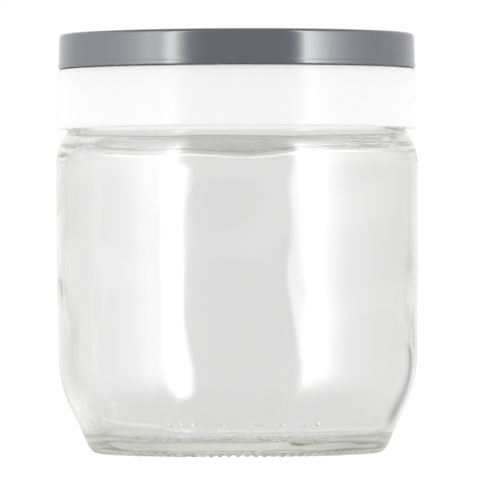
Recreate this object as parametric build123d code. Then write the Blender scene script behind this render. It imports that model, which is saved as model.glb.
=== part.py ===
from build123d import *
import math
import os

# A glass jar for keeping a sourdough starter: a wide screw neck, a white screw
# collar with its own spout, a grey screw cap on that spout, a silicone ring under
# the collar and a silicone disc in the cap. Millimetres, +Z up, the origin at the
# centre of the foot ring's underside. Every piece is turned about the Z axis from
# its half section.

# Glass jar, from the neck outwards and from the table upwards
neck_diameter = 96.5  # the plain glass under the screw thread
neck_height = 13.0  # from the shoulder's slope to the rim
shoulder_overhang = 4.25  # the body stands out past the neck by this, all round
shoulder_angle = 41.0  # the shoulder's slope, measured from upright
straight_height = 68.4  # the upright wall, between its two sharp corners
wall_draft = 0.4  # the upright wall leans in by this towards the foot
flare_height = 21.0  # the tapered foot, up to the sharp corner with the wall
foot_inset = 9.7  # the sharp foot corner stands in from the wall by this
flare_radius = 35.0  # rounds the corner between foot and wall
heel_radius = 4.0  # rounds the foot down to the ring it stands on
foot_ring_width = 3.4
base_push_up = 1.3  # the hollow under the base, at its centre
base_thickness = 5.1
inner_heel_radius = 3.5
wall = 2.8
rim_radius = 0.9
inner_shoulder_drop = 1.6  # the inside of the shoulder lies lower by this: the glass is thick there
inner_shoulder_radius = 9.5
inner_neck_radius = 4.0  # rounds the inside of the shoulder up into the neck

# The two roundings of the shoulder share out its slope
shoulder_round_share = 0.88
neck_root_share = 0.09

# Screw threads are left plain here, with room for them in each gap
jar_thread_depth = 1.5
spout_thread_depth = 1.3
thread_clearance = 0.3

# Silicone ring between the glass rim and the collar
jar_seal_thickness = 1.7
seal_lip = 0.5  # the ring reaches in by this past the mouth it seals
seal_clearance = 0.3

# White screw collar
collar_wall = 1.95
collar_draft = 0.2  # its outside is narrower at the top by this
collar_deck = 2.3
collar_edge_drop = 0.35  # its lower edge hangs below the neck's root by this
collar_lower_edge_radius = 0.7
collar_lead_in_radius = 0.6
collar_top_edge_radius = 0.35
spout_wall = 2.15
spout_height = 6.8
spout_edge_radius = 0.6

# Silicone disc between the spout and the cap
cap_seal_thickness = 1.2

# Grey screw cap
cap_wall = 2.5
cap_draft = 0.25  # its outside is narrower at the top by this
cap_plate = 2.25
cap_gap = 0.2  # between the cap's skirt and the collar
cap_top_edge_radius = 1.1
cap_lower_edge_radius = 0.3
cap_lead_in_radius = 0.5
cap_band_height = 1.3  # the slightly proud band round the skirt's lower edge
cap_band_proud = 0.12

# Glass jar, worked out
slope = math.radians(shoulder_angle)
neck_radius = neck_diameter / 2
body_radius = neck_radius + shoulder_overhang
waist_radius = body_radius - wall_draft
foot_radius = waist_radius - foot_inset
flare = math.atan2(foot_inset, flare_height)
shoulder_level = flare_height + straight_height
neck_root_level = shoulder_level + shoulder_overhang / math.tan(slope)
rim_level = neck_root_level + neck_height
mouth_radius = neck_radius - wall

slope_length = shoulder_overhang / math.sin(slope)
shoulder_radius = shoulder_round_share * slope_length / math.tan(slope / 2)
neck_root_radius = neck_root_share * slope_length / math.tan(slope / 2)

heel_reach = heel_radius * math.tan((math.pi / 2 - flare) / 2)
foot_ring_outer = foot_radius - heel_reach
foot_ring_inner = foot_ring_outer - foot_ring_width

# Collar and jar seal, worked out
collar_bore = neck_radius + jar_thread_depth + thread_clearance
collar_radius = collar_bore + collar_wall
collar_foot_level = neck_root_level - collar_edge_drop
deck_underside = rim_level + jar_seal_thickness
deck_top = deck_underside + collar_deck
spout_radius = mouth_radius + spout_wall
spout_top = deck_top + spout_height

# Cap and cap seal, worked out
cap_bore = spout_radius + spout_thread_depth + thread_clearance
cap_radius = cap_bore + cap_wall
cap_foot_level = deck_top + cap_gap
cap_underside = spout_top + cap_seal_thickness
cap_top = cap_underside + cap_plate


def turned(corners):
    """Turn a closed half section about Z. Each corner is (radius, height, rounding)."""
    with BuildPart() as piece:
        with BuildSketch(Plane.XZ):
            with BuildLine():
                FilletPolyline(
                    *[(across, up) for across, up, rounding in corners],
                    radius=[rounding for across, up, rounding in corners],
                    close=True,
                )
            make_face()
        revolve(axis=Axis.Z)
    return piece.part


def glass_jar():
    """Blown glass: one wall thick, but thicker in the base and under the shoulder."""
    # An inner corner lies on the line that halves the outer corner's angle
    flare_shift = wall * math.tan(flare / 2)
    inner_drop = wall * math.tan(slope / 2) + inner_shoulder_drop
    inner_foot = foot_radius + base_thickness * math.tan(flare) - wall / math.cos(flare)
    outside = [
        (foot_radius, 0, heel_radius),
        (waist_radius, flare_height, flare_radius),
        (body_radius, shoulder_level, shoulder_radius),
        (neck_radius, neck_root_level, neck_root_radius),
        (neck_radius, rim_level, rim_radius),
    ]
    inside = [
        (mouth_radius, rim_level, rim_radius),
        (mouth_radius, neck_root_level - inner_drop, inner_neck_radius),
        (body_radius - wall, shoulder_level - inner_drop, inner_shoulder_radius),
        (waist_radius - wall, flare_height + flare_shift, flare_radius - wall),
        (inner_foot, base_thickness, inner_heel_radius),
    ]
    corners = outside + inside
    with BuildPart() as piece:
        with BuildSketch(Plane.XZ):
            with BuildLine():
                FilletPolyline(
                    (foot_ring_inner, 0),
                    *[(across, up) for across, up, rounding in corners],
                    (0, base_thickness),
                    radius=[rounding for across, up, rounding in corners],
                )
                Line((0, base_thickness), (0, base_push_up))
                TangentArc((0, base_push_up), (foot_ring_inner, 0), tangent=(1, 0))
            make_face()
        revolve(axis=Axis.Z)
    return piece.part


def jar_seal():
    """The flat ring that the collar presses on the glass rim."""
    inner = mouth_radius - seal_lip
    outer = collar_bore - seal_clearance
    return turned([
        (inner, rim_level, 0),
        (outer, rim_level, 0),
        (outer, deck_underside, 0),
        (inner, deck_underside, 0),
    ])


def collar():
    """Skirt, deck and spout in one moulding."""
    return turned([
        (collar_radius, collar_foot_level, collar_lower_edge_radius),
        (collar_radius - collar_draft, deck_top, collar_top_edge_radius),
        (spout_radius, deck_top, 0),
        (spout_radius, spout_top, spout_edge_radius),
        (mouth_radius, spout_top, spout_edge_radius),
        (mouth_radius, deck_underside, 0),
        (collar_bore, deck_underside, 0),
        (collar_bore, collar_foot_level, collar_lead_in_radius),
    ])


def cap_seal():
    """The flat disc that the cap presses on the spout."""
    outer = cap_bore - seal_clearance
    return turned([
        (0, spout_top, 0),
        (outer, spout_top, 0),
        (outer, cap_underside, 0),
        (0, cap_underside, 0),
    ])


def cap():
    """Plate and skirt, with the proud band round the skirt's lower edge."""
    band_top = cap_foot_level + cap_band_height
    return turned([
        (0, cap_top, 0),
        (cap_radius - cap_draft, cap_top, cap_top_edge_radius),
        (cap_radius, band_top, 0),
        (cap_radius + cap_band_proud, band_top, 0),
        (cap_radius + cap_band_proud, cap_foot_level, cap_lower_edge_radius),
        (cap_bore, cap_foot_level, cap_lead_in_radius),
        (cap_bore, cap_underside, 0),
        (0, cap_underside, 0),
    ])


os.makedirs("parts", exist_ok=True)
for name, make in {
    "glass_jar": glass_jar,
    "jar_seal": jar_seal,
    "collar": collar,
    "cap_seal": cap_seal,
    "cap": cap,
}.items():
    export_step(make(), f"parts/{name}.step")
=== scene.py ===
import math

import bpy
import numpy as np
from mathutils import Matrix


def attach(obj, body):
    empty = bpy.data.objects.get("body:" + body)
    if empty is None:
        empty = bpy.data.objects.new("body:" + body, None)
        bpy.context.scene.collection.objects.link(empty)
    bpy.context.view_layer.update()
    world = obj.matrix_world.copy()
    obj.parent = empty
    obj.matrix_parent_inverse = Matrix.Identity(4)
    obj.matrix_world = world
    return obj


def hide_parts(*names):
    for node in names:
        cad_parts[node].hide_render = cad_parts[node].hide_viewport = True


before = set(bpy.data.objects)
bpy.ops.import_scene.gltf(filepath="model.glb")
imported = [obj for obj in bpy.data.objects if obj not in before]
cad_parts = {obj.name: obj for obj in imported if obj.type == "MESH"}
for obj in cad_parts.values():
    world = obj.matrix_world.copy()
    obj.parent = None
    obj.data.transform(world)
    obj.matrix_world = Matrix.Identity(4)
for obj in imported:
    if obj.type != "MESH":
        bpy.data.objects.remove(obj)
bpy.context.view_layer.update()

# Glass jar. One blown piece of clear soda-lime glass: a knurled foot ring, a thick base, a
# tapered foot with a row of mould dots, a rounded shoulder and a threaded neck. The outside
# is smooth from the mould, and the blown inside is slightly wavy.
mm = 0.001  # sizes are written in millimetres, and Blender's unit is the metre

neck_radius = 48.25
neck_height = 13.0
shoulder_overhang = 4.25
shoulder_angle = math.radians(41)
straight_height = 68.4
wall_draft = 0.4
flare_height = 21.0
foot_inset = 9.7
flare_radius = 35.0
heel_radius = 4.0
foot_ring_width = 3.4
base_push_up = 1.3
base_thickness = 5.1
inner_heel_radius = 3.5
wall = 2.8
rim_radius = 0.9
inner_shoulder_drop = 1.6
inner_shoulder_radius = 9.5
inner_neck_radius = 4.0
shoulder_round_share = 0.88
neck_root_share = 0.09

body_radius = neck_radius + shoulder_overhang
waist_radius = body_radius - wall_draft
foot_radius = waist_radius - foot_inset
flare = math.atan2(foot_inset, flare_height)
shoulder_level = flare_height + straight_height
neck_root_level = shoulder_level + shoulder_overhang / math.tan(shoulder_angle)
rim_level = neck_root_level + neck_height
mouth_radius = neck_radius - wall
widest_rounding = shoulder_overhang / math.sin(shoulder_angle) / math.tan(shoulder_angle / 2)
shoulder_radius = shoulder_round_share * widest_rounding
neck_root_radius = neck_root_share * widest_rounding
foot_ring_outer = foot_radius - heel_radius * math.tan((math.pi / 2 - flare) / 2)
foot_ring_inner = foot_ring_outer - foot_ring_width


def rounded_outline(corners):
    """Radius and height of points along a line whose corners are rounded.

    A corner is (radius, height, rounding, step). Where the line turns by t, an arc of
    radius r leaves the run r tan(t/2) before the corner and joins the next one as far
    after it. step is the spacing of points on the run up to the corner and on its arc.
    """
    places = np.array([corner[:2] for corner in corners], dtype=float)
    points = [places[:1]]
    for before, place, after, corner in zip(places, places[1:], places[2:], corners[1:]):
        rounding, step = corner[2:]
        arriving = (place - before) / np.linalg.norm(place - before)
        leaving = (after - place) / np.linalg.norm(after - place)
        cross = arriving[0] * leaving[1] - arriving[1] * leaving[0]
        turn = math.atan2(cross, arriving @ leaving)
        start = place - arriving * rounding * math.tan(abs(turn) / 2)
        points.append(straight(points[-1][-1], start, step))
        if rounding:
            inwards = np.array([-arriving[1], arriving[0]]) * math.copysign(rounding, turn)
            swept = np.linspace(0, turn, 2 + int(abs(turn) * rounding / step))[1:, None]
            spoke = -inwards * np.cos(swept) + arriving * rounding * np.sin(swept) * np.sign(turn)
            points.append(start + inwards + spoke)
    points.append(straight(points[-1][-1], places[-1], corners[-1][3]))
    return np.concatenate(points)


def straight(start, end, step):
    """Evenly spaced points from start, left out, to end."""
    count = max(1, math.ceil(np.linalg.norm(end - start) / step))
    return start + (end - start) * np.linspace(0, 1, count + 1)[1:, None]


def outward(outline):
    """The unit normal at each point of an outline, on the right of its direction."""
    along = np.gradient(outline, axis=0)
    along /= np.linalg.norm(along, axis=1)[:, None]
    return np.column_stack([along[:, 1], -along[:, 0]])


def ring_rows(outline, normals, relief, columns):
    """Vertices of a turned surface, as rows by columns by x, y and z, in millimetres.

    A point of the outline at radius r and height z goes to (r cos a, r sin a, z), moved
    along its normal by relief(a, r, z).
    """
    angle = np.arange(columns) * math.tau / columns
    radius, height = outline[:, :1], outline[:, 1:]
    raised = relief(angle[None, :], radius, height)
    radius = radius + normals[:, :1] * raised
    height = height + normals[:, 1:] * raised
    return np.stack([radius * np.cos(angle), radius * np.sin(angle), height], axis=2)


def turned_piece(name, blocks, closed_ring):
    """A closed mesh from blocks of rows. Neighbouring rows may differ in their columns.

    Between a row of n vertices and one of k times n, each face takes two of the one and
    k + 1 of the other. A row of one vertex is a pole. On a closed ring the last row joins
    the first.
    """
    rows = [row.reshape(-1, 3) for block in blocks for row in block]
    starts = np.cumsum([0] + [len(row) for row in rows])
    pairs = list(zip(range(len(rows) - 1), range(1, len(rows))))
    if closed_ring:
        pairs.append((len(rows) - 1, 0))
    faces = []
    for low, high in pairs:
        counts = len(rows[low]), len(rows[high])
        segments = min(counts) if min(counts) > 1 else max(counts)
        sides = []
        for row, count in zip((low, high), counts):
            per = count // segments
            steps = np.arange(segments)[:, None] * per + np.arange(per + 1)
            sides.append(steps % count + starts[row])
        faces += np.hstack([sides[0], sides[1][:, ::-1]]).tolist()
    mesh = bpy.data.meshes.new(name)
    mesh.from_pydata((np.concatenate(rows) * mm).tolist(), [], faces)
    mesh.polygons.foreach_set("use_smooth", [True] * len(mesh.polygons))
    mesh.update()
    piece = bpy.data.objects.new(name, mesh)
    bpy.context.scene.collection.objects.link(piece)
    return piece


def smooth_step(value, low, high):
    """0 up to low, 1 from high, and 3t^2 - 2t^3 between them. high may be below low."""
    t = np.clip((value - low) / (high - low), 0, 1)
    return t * t * (3 - 2 * t)


def thread_ridge(angle, height, start, lead, turns, crest, root, run_out):
    """Height share, 0 to 1, of a right-hand screw ridge whose middle starts at height start.

    The middle climbs by lead a turn. crest and root are the ridge's half widths, and it
    fades in and out over run_out, an angle.
    """
    climb = lead * angle / math.tau
    wound = np.round((height - start - climb) / lead)
    off_middle = np.abs(height - start - climb - wound * lead)
    along = angle + wound * math.tau
    end = turns * math.tau
    ends = smooth_step(along, 0, run_out) * smooth_step(along, end, end - run_out)
    return smooth_step(off_middle, root, crest) * ends


jar_thread_lead = 5.08
jar_thread_depth = 1.45
jar_thread_turns = 1.15
jar_thread_crest, jar_thread_root = 0.3, 1.75
jar_thread_start = neck_root_level + 4.6
thread_run_out = 0.5

seam_height = 0.05
seam_half_width = 1.3

# Nine small dots in a row at the front of the heel, in an uneven pattern
dot_pitch = math.radians(4.5)
dot_places = (0, 1, 2, 4, 6, 7, 9, 11, 12)
dots_middle = math.radians(-87.5)
dot_level = 8.9
dot_radius = 1.05
dot_height = 0.38

# Radial grooves through the foot ring, which turn its lower edge into teeth
knurl_count = 96
knurl_depth = 0.6
knurl_sharpness = 3
knurl_top_level, knurl_full_level = 1.5, 0.2
knurl_inner_radius = 31.0

# Waves of the blown glass. Each side has its own seed and its own fewest and most waves round
shortest_wave, longest_wave = 22, 90
outer_wave_height = 0.05
outer_waves = 5, 5, 14
outer_wave_from, outer_wave_full = 9, 22
inner_wave_height = 0.11
inner_waves = 11, 1, 13
inner_wave_turn = 1
inner_wave_top, inner_wave_full = rim_level - 4, neck_root_level - 6
inner_wave_still_radius, inner_wave_full_radius = 10, 40


def ripple(angle, height, seed, fewest, most):
    """Slow waves of blown glass: a sum of sines, from fewest to most of them round.

    Each sine draws its length upwards and its place at random, and its height falls with
    the root of the number of its waves.
    """
    draw = np.random.default_rng(seed)
    total = 0
    for around in range(fewest, most + 1):
        up = math.tau / draw.uniform(shortest_wave, longest_wave)
        place = draw.uniform(0, math.tau)
        total = total + np.sin(around * angle + up * height + place) / math.sqrt(around)
    return total


def jar_outside(angle, radius, height):
    """Thread, mould seams, heel dots, knurl and slow waves of the jar's outside, added up."""
    thread = thread_ridge(angle, height, jar_thread_start, jar_thread_lead, jar_thread_turns,
                          jar_thread_crest, jar_thread_root, thread_run_out)
    raised = jar_thread_depth * thread
    from_seam = np.abs(np.sin(angle)) * radius
    seam = smooth_step(from_seam, seam_half_width, 0) * (height > heel_radius)
    raised = raised + seam_height * seam
    first_dot = dots_middle - dot_pitch * dot_places[-1] / 2
    for place in dot_places:
        aside = (angle - first_dot - place * dot_pitch + math.pi) % math.tau - math.pi
        apart = np.hypot(aside * radius, (height - dot_level) / math.cos(flare))
        raised = raised + dot_height * np.clip(1 - (apart / dot_radius) ** 2, 0, 1)
    groove = 1 - np.abs(np.cos(knurl_count / 2 * angle)) ** knurl_sharpness
    on_ring = smooth_step(radius, knurl_inner_radius, foot_ring_inner)
    on_ring = on_ring * smooth_step(height, knurl_top_level, knurl_full_level)
    raised = raised - knurl_depth * groove * on_ring
    wavy = smooth_step(height, outer_wave_from, outer_wave_full)
    wavy = wavy * smooth_step(height, neck_root_level, shoulder_level)
    return raised + outer_wave_height * ripple(angle, height, *outer_waves) * wavy


def jar_inside(angle, radius, height):
    """The waves of the blown inside, which fade out at the neck and at the base's middle."""
    wavy = smooth_step(height, inner_wave_top, inner_wave_full)
    wavy = wavy * smooth_step(radius, inner_wave_still_radius, inner_wave_full_radius)
    return inner_wave_height * ripple(angle + inner_wave_turn, height, *inner_waves) * wavy


# Spacing of the mesh's rows, finer where the surface turns sharply or carries detail
rim_step = 0.25
dot_step = 0.35
foot_step = 0.4
thread_step = 0.5
curve_step = 0.8
inner_heel_step = 0.9
outer_wall_step = 1.0
inner_neck_step = 1.2
inner_wall_step = 1.4
floor_step = 2.5
dome_rows = 12

dot_margin = 1.4
dots_from, dots_to = dot_level - dot_margin, dot_level + dot_margin
thread_end_level = rim_level - 2 * rim_radius
flare_shift = wall * math.tan(flare / 2)
inner_drop = wall * math.tan(shoulder_angle / 2) + inner_shoulder_drop
inner_foot = foot_radius + base_thickness * math.tan(flare) - wall / math.cos(flare)
outside = rounded_outline([
    (foot_ring_inner, 0, 0, foot_step),
    (foot_radius, 0, heel_radius, foot_step),
    (foot_radius + dots_from * math.tan(flare), dots_from, 0, curve_step),
    (foot_radius + dots_to * math.tan(flare), dots_to, 0, dot_step),
    (waist_radius, flare_height, flare_radius, curve_step),
    (body_radius, shoulder_level, shoulder_radius, outer_wall_step),
    (neck_radius, neck_root_level, neck_root_radius, thread_step),
    (neck_radius, thread_end_level, 0, thread_step),
])
inside = rounded_outline([
    (neck_radius, thread_end_level, 0, rim_step),
    (neck_radius, rim_level, rim_radius, rim_step),
    (mouth_radius, rim_level, rim_radius, rim_step),
    (mouth_radius, neck_root_level - inner_drop, inner_neck_radius, inner_neck_step),
    (body_radius - wall, shoulder_level - inner_drop, inner_shoulder_radius, curve_step),
    (waist_radius - wall, flare_height + flare_shift, flare_radius - wall, inner_wall_step),
    (inner_foot, base_thickness, inner_heel_radius, inner_heel_step),
    (0, base_thickness, 0, floor_step),
])[1:]
dome_radius = (foot_ring_inner**2 + base_push_up**2) / (2 * base_push_up)
dome_across = np.linspace(0, foot_ring_inner, dome_rows + 1)[:-1]
dome_up = base_push_up - dome_radius + np.sqrt(dome_radius**2 - dome_across**2)
dome = np.column_stack([dome_across, dome_up])

whole = np.concatenate([dome, outside, inside])
normals = outward(whole)
normals[0] = 0, -1
normals[-1] = 0, 1

# Rows with teeth or dots have three times the columns of the rest
coarse_columns = 264
fine_columns = 3 * coarse_columns
past_dots = 0.2
fine_from = int(np.argmax(dome[:, 0] > knurl_inner_radius))
fine_to = len(dome) + int(np.argmax(outside[:, 1] > dots_to + past_dots))
inside_from = len(dome) + len(outside)
last = len(whole) - 1


def jar_block(first, end, relief, columns):
    """The jar's rows from first up to end, with that relief."""
    return ring_rows(whole[first:end], normals[first:end], relief, columns)


jar = turned_piece("jar_glass", [
    jar_block(0, 1, jar_outside, 1),
    jar_block(1, fine_from, jar_outside, coarse_columns),
    jar_block(fine_from, fine_to, jar_outside, fine_columns),
    jar_block(fine_to, inside_from, jar_outside, coarse_columns),
    jar_block(inside_from, last, jar_inside, coarse_columns),
    jar_block(last, last + 1, jar_inside, 1),
], closed_ring=False)


def colour(code):
    """The linear colour of an sRGB hex code."""
    parts = [int(code[start:start + 2], 16) / 255 for start in (1, 3, 5)]
    return [c / 12.92 if c <= 0.04045 else ((c + 0.055) / 1.055) ** 2.4 for c in parts] + [1]


def grey(level):
    """The linear grey of that level."""
    return level, level, level, 1


def add_node(tree, kind, inputs=None, **settings):
    """Adds a node. settings are its own properties.

    inputs maps a socket, by name or number, to a value or to another node's output.
    """
    made = tree.nodes.new(kind)
    for name, value in settings.items():
        setattr(made, name, value)
    for socket, value in (inputs or {}).items():
        if isinstance(value, bpy.types.NodeSocket):
            tree.links.new(value, made.inputs[socket])
        else:
            made.inputs[socket].default_value = value
    return made


def new_material(name):
    """An empty material with its node tree and output."""
    material = bpy.data.materials.new(name)
    material.use_nodes = True
    material.node_tree.nodes.clear()
    output = add_node(material.node_tree, "ShaderNodeOutputMaterial")
    return material, material.node_tree, output


# Clear soda-lime glass, fire-polished: it has no roughness, so the lights and what lies
# behind it show sharp. Its index is matched to the photo, just under the usual 1.52. The
# faint green of its iron shows where the light's way through it is long, as in the base.
# Its shadow is let through, as the light that bends through it lands there all the same.
glass_green = "#BDCC7E"
glass_density = 2.7
glass_shadow = "#FDFDFD"
glass, tree, output = new_material("clear_soda_lime_glass")
body = add_node(tree, "ShaderNodeBsdfPrincipled", {
    "Base Color": colour("#FFFFFF"),
    "Roughness": 0.0,
    "IOR": 1.47,
    "Transmission Weight": 1.0,
})
let_through = add_node(tree, "ShaderNodeBsdfTransparent", {"Color": colour(glass_shadow)})
light_path = add_node(tree, "ShaderNodeLightPath")
surface = add_node(tree, "ShaderNodeMixShader", {
    0: light_path.outputs["Is Shadow Ray"],
    1: body.outputs[0],
    2: let_through.outputs[0],
})
absorption = add_node(tree, "ShaderNodeVolumeAbsorption", {
    "Color": colour(glass_green),
    "Density": glass_density,
})
tree.links.new(surface.outputs[0], output.inputs["Surface"])
tree.links.new(absorption.outputs[0], output.inputs["Volume"])
jar.data.materials.append(glass)
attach(jar, "glass_jar")
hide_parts("glass_jar")

# Jar seal. A flat ring cut from milky silicone sheet, pressed between the rim and the
# collar's deck, with its cut edges just softened.
seal_lip = 0.5
seal_clearance = 0.3
seal_edge = 0.2
jar_seal_thickness = 1.7
jar_thread_room = 1.5
thread_clearance = 0.3
collar_bore = neck_radius + jar_thread_room + thread_clearance
ring_columns = 256
seal_edge_step = 0.12
seal_end_step = 1.0


def plain(angle, radius, height):
    """No relief anywhere."""
    return 0 * angle * radius


def seal_piece(name, inner, outer, underside, thickness):
    """A ring of rectangular section with softened edges."""
    middle = (inner + outer) / 2
    top = underside + thickness
    outline = rounded_outline([
        (middle, underside, 0, seal_end_step),
        (outer, underside, seal_edge, seal_edge_step),
        (outer, top, seal_edge, seal_edge_step),
        (inner, top, seal_edge, seal_edge_step),
        (inner, underside, seal_edge, seal_edge_step),
        (middle, underside, 0, seal_end_step),
    ])[:-1]
    rows = ring_rows(outline, outward(outline), plain, ring_columns)
    return turned_piece(name, [rows], closed_ring=True)


jar_seal = seal_piece("jar_seal_ring", mouth_radius - seal_lip, collar_bore - seal_clearance,
                      rim_level, jar_seal_thickness)

# Milky silicone, pressed in sheets: a soft sheen, and light goes a little way in. Its faint
# clouds are drawn 4 mm wide, coarser than the real ones, so that they show.
silicone_cloud = 4 * mm
silicone, tree, output = new_material("milky_silicone")
clouds = add_node(tree, "ShaderNodeTexNoise", {
    "Vector": add_node(tree, "ShaderNodeTexCoord").outputs["Object"],
    "Scale": 1 / silicone_cloud,
    "Detail": 2.0,
})
milk = add_node(tree, "ShaderNodeMix", {
    0: clouds.outputs[0],
    6: colour("#F0F0EC"),
    7: colour("#F6F6F3"),
}, data_type="RGBA")
body = add_node(tree, "ShaderNodeBsdfPrincipled", {
    "Base Color": milk.outputs[2],
    "Roughness": 0.45,
    "IOR": 1.41,
    "Subsurface Weight": 0.4,
    "Subsurface Scale": 1.5 * mm,
})
tree.links.new(body.outputs[0], output.inputs["Surface"])
jar_seal.data.materials.append(silicone)
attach(jar_seal, "jar_seal")
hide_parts("jar_seal")

# Collar. One injection-moulded ring of white polypropylene: the skirt screws on the neck,
# the deck presses the silicone ring, and the spout stands up from it with the cap's thread.
collar_wall = 1.95
collar_draft = 0.2
collar_deck = 2.3
collar_edge_drop = 0.35
collar_lower_edge = 0.7
collar_lead_in = 0.6
collar_top_edge = 0.35
spout_wall = 2.15
spout_height = 6.8
spout_edge = 0.6
inner_corner = 0.25

deck_underside = rim_level + jar_seal_thickness
deck_top = deck_underside + collar_deck
collar_foot = neck_root_level - collar_edge_drop
collar_radius = collar_bore + collar_wall
spout_radius = mouth_radius + spout_wall
spout_top = deck_top + spout_height

collar_thread_depth = 1.25
collar_thread_turns = 1.05
collar_thread_crest, collar_thread_root = 0.55, 1.15
collar_thread_start = jar_thread_start - jar_thread_lead / 2
spout_thread_lead = 4.0
spout_thread_depth = 1.25
spout_thread_turns = 1.05
spout_thread_crest, spout_thread_root = 0.4, 0.85
spout_thread_start = deck_top + 1.4
spout_run_out = 0.4

# How near a bore's radius a row lies on it, and how far a thread keeps from a corner
same_radius = 0.01
from_corner = 0.1


def collar_relief(angle, radius, height):
    """The collar's inner thread, between the turns of the jar's, and the spout's outer one."""
    in_bore = np.abs(radius - collar_bore) < same_radius
    in_bore = in_bore & (height < deck_underside - from_corner)
    on_spout = np.abs(radius - spout_radius) < same_radius
    on_spout = on_spout & (height > deck_top + from_corner)
    inner = thread_ridge(angle, height, collar_thread_start, jar_thread_lead,
                         collar_thread_turns, collar_thread_crest, collar_thread_root,
                         thread_run_out)
    outer = thread_ridge(angle, height, spout_thread_start, spout_thread_lead,
                         spout_thread_turns, spout_thread_crest, spout_thread_root,
                         spout_run_out)
    return collar_thread_depth * inner * in_bore + spout_thread_depth * outer * on_spout


collar_start_level = collar_foot + 2
collar_thread_step = 0.3
collar_edge_step = 0.15
skirt_step = 1.2
spout_step = 0.25
spout_top_step = 0.2
collar_outline = rounded_outline([
    (collar_bore, collar_start_level, 0, collar_thread_step),
    (collar_bore, collar_foot, collar_lead_in, collar_thread_step),
    (collar_radius, collar_foot, collar_lower_edge, collar_edge_step),
    (collar_radius - collar_draft, deck_top, collar_top_edge, skirt_step),
    (spout_radius, deck_top, inner_corner, collar_thread_step),
    (spout_radius, spout_top, spout_edge, spout_step),
    (mouth_radius, spout_top, spout_edge, spout_top_step),
    (mouth_radius, deck_underside, inner_corner, curve_step),
    (collar_bore, deck_underside, 0, curve_step),
    (collar_bore, collar_start_level, 0, collar_thread_step),
])[:-1]
collar_rows = ring_rows(collar_outline, outward(collar_outline), collar_relief, ring_columns)
collar = turned_piece("collar_moulding", [collar_rows], closed_ring=True)

# Glossy white polypropylene from a polished mould. Light goes a little way in and comes out
# soft, the gloss is matched to the photo, and the surface has a faint long-wave unevenness.
# Its mottle and its orange peel are drawn at 9 and 3 mm, coarser than the real ones.
white_mottle = 9 * mm
orange_peel_width, orange_peel_depth = 3 * mm, 0.02 * mm
white_plastic, tree, output = new_material("glossy_white_polypropylene")
place = add_node(tree, "ShaderNodeTexCoord").outputs["Object"]
mottle = add_node(tree, "ShaderNodeTexNoise", {
    "Vector": place,
    "Scale": 1 / white_mottle,
    "Detail": 2.0,
})
tone = add_node(tree, "ShaderNodeMix", {
    0: mottle.outputs[0],
    6: colour("#F7F7F6"),
    7: colour("#FAFAF9"),
}, data_type="RGBA")
orange_peel = add_node(tree, "ShaderNodeTexNoise", {
    "Vector": place,
    "Scale": 1 / orange_peel_width,
    "Detail": 1.0,
})
bump = add_node(tree, "ShaderNodeBump", {
    "Height": orange_peel.outputs[0],
    "Strength": 0.15,
    "Distance": orange_peel_depth,
})
body = add_node(tree, "ShaderNodeBsdfPrincipled", {
    "Base Color": tone.outputs[2],
    "Roughness": 0.16,
    "IOR": 1.49,
    "Normal": bump.outputs[0],
    "Subsurface Weight": 1.0,
    "Subsurface Radius": (1.0, 1.0, 1.0),
    "Subsurface Scale": 2.5 * mm,
    "Specular IOR Level": 0.12,
})
tree.links.new(body.outputs[0], output.inputs["Surface"])
collar.data.materials.append(white_plastic)
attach(collar, "collar")
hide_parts("collar")

# Cap seal. A disc punched from a thinner sheet of the same silicone. It lies in the cap,
# and the screwed cap presses it on the spout.
cap_seal_thickness = 1.2
spout_thread_room = 1.3
cap_bore = spout_radius + spout_thread_room + thread_clearance
liner_radius = cap_bore - seal_clearance
liner_top = spout_top + cap_seal_thickness
liner_rim = 1.0
liner_edge_step = 0.15
liner_rim_step = 0.3
plate_step = 3.0
liner_outline = rounded_outline([
    (0, spout_top, 0, plate_step),
    (liner_radius - liner_rim, spout_top, 0, plate_step),
    (liner_radius, spout_top, seal_edge, liner_edge_step),
    (liner_radius, liner_top, seal_edge, liner_edge_step),
    (liner_radius - liner_rim, liner_top, 0, liner_rim_step),
    (0, liner_top, 0, plate_step),
])
liner_normals = outward(liner_outline)
cap_seal = turned_piece("cap_liner_disc", [
    ring_rows(liner_outline[:1], liner_normals[:1], plain, 1),
    ring_rows(liner_outline[1:-1], liner_normals[1:-1], plain, ring_columns),
    ring_rows(liner_outline[-1:], liner_normals[-1:], plain, 1),
], closed_ring=False)
cap_seal.data.materials.append(silicone)
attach(cap_seal, "cap_seal")
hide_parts("cap_seal")

# Cap. One injection-moulded plate and skirt of slate-grey polypropylene, with a slightly
# proud band round its lower edge and the thread inside.
cap_wall = 2.5
cap_draft = 0.25
cap_plate = 2.25
cap_gap = 0.2
cap_top_edge = 1.1
cap_lower_edge = 0.3
cap_lead_in = 0.5
cap_band_height = 1.3
cap_band_proud = 0.12
cap_band_edge = 0.08
cap_band_root = 0.05

cap_radius = cap_bore + cap_wall
cap_foot = deck_top + cap_gap
cap_underside = spout_top + cap_seal_thickness
cap_top = cap_underside + cap_plate
band_top = cap_foot + cap_band_height
band_radius = cap_radius + cap_band_proud
cap_thread_depth = 1.2
cap_thread_turns = 0.95
cap_thread_crest, cap_thread_root = 0.35, 0.8
cap_thread_start = spout_thread_start + spout_thread_lead / 2


def cap_relief(angle, radius, height):
    """The cap's inner thread, between the turns of the spout's."""
    in_bore = np.abs(radius - cap_bore) < same_radius
    in_bore = in_bore & (height < cap_underside - from_corner)
    ridge = thread_ridge(angle, height, cap_thread_start, spout_thread_lead, cap_thread_turns,
                         cap_thread_crest, cap_thread_root, spout_run_out)
    return cap_thread_depth * ridge * in_bore


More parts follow.
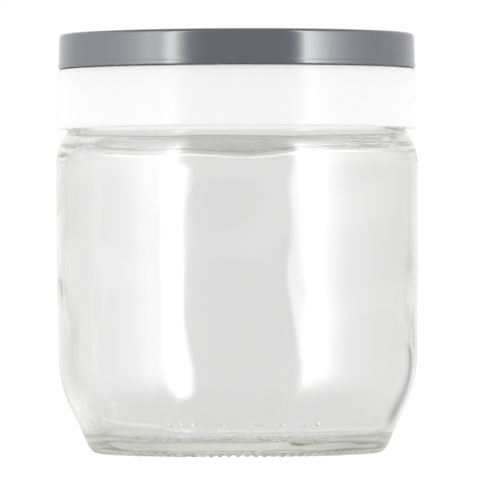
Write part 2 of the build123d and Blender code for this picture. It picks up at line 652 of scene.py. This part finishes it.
cap_thread_step = 0.3
band_step = 0.1
band_root_step = 0.05
cap_skirt_step = 0.7
cap_outline = rounded_outline([
    (0, cap_underside, 0, plate_step),
    (cap_bore, cap_underside, 0, curve_step),
    (cap_bore, cap_foot, cap_lead_in, cap_thread_step),
    (band_radius, cap_foot, cap_lower_edge, band_step),
    (band_radius, band_top, cap_band_edge, band_step),
    (cap_radius, band_top, cap_band_root, band_root_step),
    (cap_radius - cap_draft, cap_top, cap_top_edge, cap_skirt_step),
    (0, cap_top, 0, plate_step),
])
cap_normals = outward(cap_outline)
cap = turned_piece("cap_moulding", [
    ring_rows(cap_outline[:1], cap_normals[:1], plain, 1),
    ring_rows(cap_outline[1:-1], cap_normals[1:-1], cap_relief, ring_columns),
    ring_rows(cap_outline[-1:], cap_normals[-1:], plain, 1),
], closed_ring=False)

# Glossy slate-grey polypropylene, coloured through, from a polished mould: the lights show
# in it as soft upright bands, and its faint mottle and orange peel are drawn coarser than
# the real ones.
grey_mottle = 7 * mm
grey_plastic, tree, output = new_material("glossy_slate_grey_polypropylene")
place = add_node(tree, "ShaderNodeTexCoord").outputs["Object"]
mottle = add_node(tree, "ShaderNodeTexNoise", {
    "Vector": place,
    "Scale": 1 / grey_mottle,
    "Detail": 3.0,
})
tone = add_node(tree, "ShaderNodeMix", {
    0: mottle.outputs[0],
    6: colour("#52565E"),
    7: colour("#565A62"),
}, data_type="RGBA")
orange_peel = add_node(tree, "ShaderNodeTexNoise", {
    "Vector": place,
    "Scale": 1 / orange_peel_width,
    "Detail": 1.0,
})
bump = add_node(tree, "ShaderNodeBump", {
    "Height": orange_peel.outputs[0],
    "Strength": 0.15,
    "Distance": orange_peel_depth,
})
body = add_node(tree, "ShaderNodeBsdfPrincipled", {
    "Base Color": tone.outputs[2],
    "Roughness": 0.12,
    "IOR": 1.49,
    "Specular IOR Level": 0.6,
    "Normal": bump.outputs[0],
})
tree.links.new(body.outputs[0], output.inputs["Surface"])
cap.data.materials.append(grey_plastic)
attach(cap, "cap")
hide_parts("cap")

# Studio. A pale floor that keeps the shadow, and a soft room with a tall light at each
# side of the camera, brightest at its inner edge. The camera sees white behind the jar.
camera_distance = 1.855
camera_height = 0.058
camera_roll = math.radians(0.2)
camera_aim = (0.00075, 0, 0.0618)
photo_width = 0.1393
sensor_width = 36.0

camera_data = bpy.data.cameras.new("camera")
camera_data.sensor_width = sensor_width
camera_data.lens = sensor_width * camera_distance / photo_width
camera_data.clip_end = 100
camera = bpy.data.objects.new("camera", camera_data)
bpy.context.scene.collection.objects.link(camera)
camera.location = (camera_aim[0], -camera_distance, camera_height)
rise = math.atan2(camera_aim[2] - camera_height, camera_distance)
camera.rotation_euler = (math.pi / 2 + rise, camera_roll, 0)
bpy.context.scene.camera = camera

world = bpy.data.worlds.new("studio")
bpy.context.scene.world = world
world.use_nodes = True
tree = world.node_tree
tree.nodes.clear()
direction = add_node(tree, "ShaderNodeSeparateXYZ", {
    0: add_node(tree, "ShaderNodeTexCoord").outputs["Generated"],
})
towards = add_node(tree, "ShaderNodeMath", {
    0: direction.outputs[1],
    1: -1.0,
}, operation="MULTIPLY")
bearing = add_node(tree, "ShaderNodeMath", {
    0: direction.outputs[0],
    1: towards.outputs[0],
}, operation="ARCTAN2")
turn_share = add_node(tree, "ShaderNodeMapRange", {
    "Value": bearing.outputs[0],
    "From Min": -math.pi,
    "From Max": math.pi,
})

# Levels round the room, each at its degrees to the right of the camera's side
levels_round = {
    # The lights as a glossy surface shows them, brightest at 43 degrees left and 48 right
    "lights": (
        (-180, 0.0), (-150, 0.03), (-125, 0.06), (-105, 0.12), (-85, 0.20), (-70, 0.31),
        (-60, 0.48), (-50, 0.48), (-47, 0.72), (-43, 1.0), (-40, 0.80), (-36, 0.36),
        (-32, 0.11), (-26, 0.03), (-15, 0.0), (30, 0.0), (36, 0.02), (39, 0.1), (42, 0.35),
        (45, 0.95), (48, 1.0), (52, 0.80), (57, 0.62), (63, 0.43), (70, 0.29), (80, 0.17),
        (95, 0.09), (120, 0.04), (150, 0.02), (180, 0.0),
    ),
    # The part of the lights that still shows in the glass's inner faces
    "lights in glass": (
        (-180, 0.0), (35, 0.0), (39, 0.4), (46, 0.4), (50, 0.1), (54, 0.0), (180, 0.0),
    ),
    # How light the glass shows the room: a pale backdrop behind the jar, and duller sides
    "room in glass": (
        (-180, 0.722), (-172, 0.722), (-150, 0.58), (-60, 0.58), (60, 0.58), (110, 0.61),
        (130, 0.62), (150, 0.60), (172, 0.722), (180, 0.722),
    ),
    # A dark edge low at the right behind the jar, which draws a line in the glass
    "edge in glass": (
        (-180, 0.0), (136, 0.0), (144, 1.0), (154, 1.0), (162, 0.0), (180, 0.0),
    ),
}
round_room = {}
for name, levels in levels_round.items():
    ramp = add_node(tree, "ShaderNodeValToRGB", {0: turn_share.outputs[0]})
    while len(ramp.color_ramp.elements) < len(levels):
        ramp.color_ramp.elements.new(0.5)
    for element, (degrees, level) in zip(ramp.color_ramp.elements, levels):
        element.position = degrees / 360 + 0.5
        element.color = grey(level)
    round_room[name] = ramp.outputs[0]

# Degrees above the level at which each part of the room has faded out and is full
fades = {
    "top of lights": (50, 35, "SMOOTHSTEP"),
    "foot of lights": (-45, -10, "SMOOTHSTEP"),
    "foot of lights in glass": (-12, -4, "SMOOTHSTEP"),
    "table": (-4, -20, "SMOOTHSTEP"),
    "upper backdrop": (0.2, 1.2, "LINEAR"),
    "edge": (-2.2, -4, "LINEAR"),
}
faded = {}
for name, (out_at, full_at, interpolation) in fades.items():
    faded[name] = add_node(tree, "ShaderNodeMapRange", {
        "Value": direction.outputs[2],
        "From Min": math.sin(math.radians(out_at)),
        "From Max": math.sin(math.radians(full_at)),
    }, interpolation_type=interpolation).outputs[0]

ray = add_node(tree, "ShaderNodeLightPath")
not_lighting = add_node(tree, "ShaderNodeMath", {
    0: ray.outputs["Diffuse Depth"],
    1: 0.5,
}, operation="LESS_THAN")
seen_through = add_node(tree, "ShaderNodeMath", {
    0: ray.outputs["Is Transmission Ray"],
    1: not_lighting.outputs[0],
}, operation="MULTIPLY")


def by_ray(lighting, to_camera, glossy, in_glass):
    """A level for each kind of ray. One that leaves clear glass counts as glossy too."""
    total = lighting
    for kind, more in ((ray.outputs["Is Camera Ray"], to_camera - lighting),
                       (ray.outputs["Is Glossy Ray"], glossy - lighting),
                       (seen_through.outputs[0], in_glass - glossy)):
        total = add_node(tree, "ShaderNodeMath", {
            0: kind,
            1: more,
            2: total,
        }, operation="MULTIPLY_ADD").outputs[0]
    return total


brightest = 12.5
fill_light = 1.08
white_behind = 1.0
glossy_room = 0.90
glossy_table, glass_table = -0.1, 0.25
glass_rise = 0.03
glass_edge = -0.45

lights = add_node(tree, "ShaderNodeMath", {
    0: round_room["lights"],
    1: by_ray(0.0, 0.0, brightest, 0.0),
}, operation="MULTIPLY")
glass_lights = add_node(tree, "ShaderNodeMath", {
    0: faded["foot of lights in glass"],
    1: by_ray(0.0, 0.0, 0.0, brightest),
}, operation="MULTIPLY")
lights = add_node(tree, "ShaderNodeMath", {
    0: round_room["lights in glass"],
    1: glass_lights.outputs[0],
    2: lights.outputs[0],
}, operation="MULTIPLY_ADD")
band = add_node(tree, "ShaderNodeMath", {
    0: faded["top of lights"],
    1: faded["foot of lights"],
}, operation="MULTIPLY")
level = add_node(tree, "ShaderNodeMath", {
    0: faded["table"],
    1: by_ray(0.0, 0.0, glossy_table, glass_table),
    2: by_ray(fill_light, white_behind, glossy_room, 0.0),
}, operation="MULTIPLY_ADD")
level = add_node(tree, "ShaderNodeMath", {
    0: faded["upper backdrop"],
    1: by_ray(0.0, 0.0, 0.0, glass_rise),
    2: level.outputs[0],
}, operation="MULTIPLY_ADD")
level = add_node(tree, "ShaderNodeMath", {
    0: round_room["room in glass"],
    1: by_ray(0.0, 0.0, 0.0, 1.0),
    2: level.outputs[0],
}, operation="MULTIPLY_ADD")
edge = add_node(tree, "ShaderNodeMath", {
    0: faded["edge"],
    1: by_ray(0.0, 0.0, 0.0, glass_edge),
}, operation="MULTIPLY")
level = add_node(tree, "ShaderNodeMath", {
    0: round_room["edge in glass"],
    1: edge.outputs[0],
    2: level.outputs[0],
}, operation="MULTIPLY_ADD")
lit = add_node(tree, "ShaderNodeMath", {
    0: lights.outputs[0],
    1: band.outputs[0],
    2: level.outputs[0],
}, operation="MULTIPLY_ADD")
background = add_node(tree, "ShaderNodeBackground", {
    "Color": (1, 1, 1, 1),
    "Strength": lit.outputs[0],
})
add_node(tree, "ShaderNodeOutputWorld", {"Surface": background.outputs[0]})

# The floor: the camera sees it white but for the jar's shadow, the glass shows it a little
# duller, and a polished surface shows it only as a patch under the jar, with the room's
# level all round
floor_half = 6.0
patch_radius = 0.045
patch_fade_radius = 0.09
floor_in_glass = 0.75
floor_lighting = 0.88
floor_shade = 0.2
floor_glow = 0.87
floor_mesh = bpy.data.meshes.new("floor")
floor_mesh.from_pydata([
    (-floor_half, -floor_half, 0),
    (floor_half, -floor_half, 0),
    (floor_half, floor_half, 0),
    (-floor_half, floor_half, 0),
], [], [(0, 1, 2, 3)])
floor = bpy.data.objects.new("floor", floor_mesh)
bpy.context.scene.collection.objects.link(floor)
pale_floor, tree, output = new_material("pale_floor")
ray = add_node(tree, "ShaderNodeLightPath")
dull = add_node(tree, "ShaderNodeBsdfDiffuse", {"Color": grey(floor_in_glass)})
white = add_node(tree, "ShaderNodeBsdfDiffuse", {"Color": grey(floor_lighting)})
lighting = add_node(tree, "ShaderNodeMixShader", {
    0: ray.outputs["Is Diffuse Ray"],
    1: dull.outputs[0],
    2: white.outputs[0],
})
shade = add_node(tree, "ShaderNodeBsdfDiffuse", {"Color": grey(floor_shade)})
glow = add_node(tree, "ShaderNodeEmission", {"Strength": floor_glow})
seen = add_node(tree, "ShaderNodeAddShader", {0: shade.outputs[0], 1: glow.outputs[0]})
solid_floor = add_node(tree, "ShaderNodeMixShader", {
    0: ray.outputs["Is Camera Ray"],
    1: lighting.outputs[0],
    2: seen.outputs[0],
})
from_axis = add_node(tree, "ShaderNodeVectorMath", {
    0: add_node(tree, "ShaderNodeTexCoord").outputs["Object"],
}, operation="LENGTH")
away = add_node(tree, "ShaderNodeMapRange", {
    "Value": from_axis.outputs["Value"],
    "From Min": patch_radius,
    "From Max": patch_fade_radius,
}, interpolation_type="SMOOTHSTEP")
opened = add_node(tree, "ShaderNodeMath", {
    0: ray.outputs["Is Glossy Ray"],
    1: away.outputs[0],
}, operation="MULTIPLY")
open_floor = add_node(tree, "ShaderNodeBsdfTransparent")
surface = add_node(tree, "ShaderNodeMixShader", {
    0: opened.outputs[0],
    1: solid_floor.outputs[0],
    2: open_floor.outputs[0],
})
tree.links.new(surface.outputs[0], output.inputs["Surface"])
floor_mesh.materials.append(pale_floor)

# The glass needs many bounces, and the white lid lights the neck inside it
glass_bounces = 256
white_bounces = 24
scene = bpy.context.scene
scene.view_settings.view_transform = "Standard"
scene.cycles.max_bounces = glass_bounces
scene.cycles.transmission_bounces = glass_bounces
scene.cycles.glossy_bounces = glass_bounces
scene.cycles.diffuse_bounces = white_bounces
scene.cycles.caustics_refractive = True
scene.cycles.caustics_reflective = False
scene.cycles.sample_clamp_indirect = 0
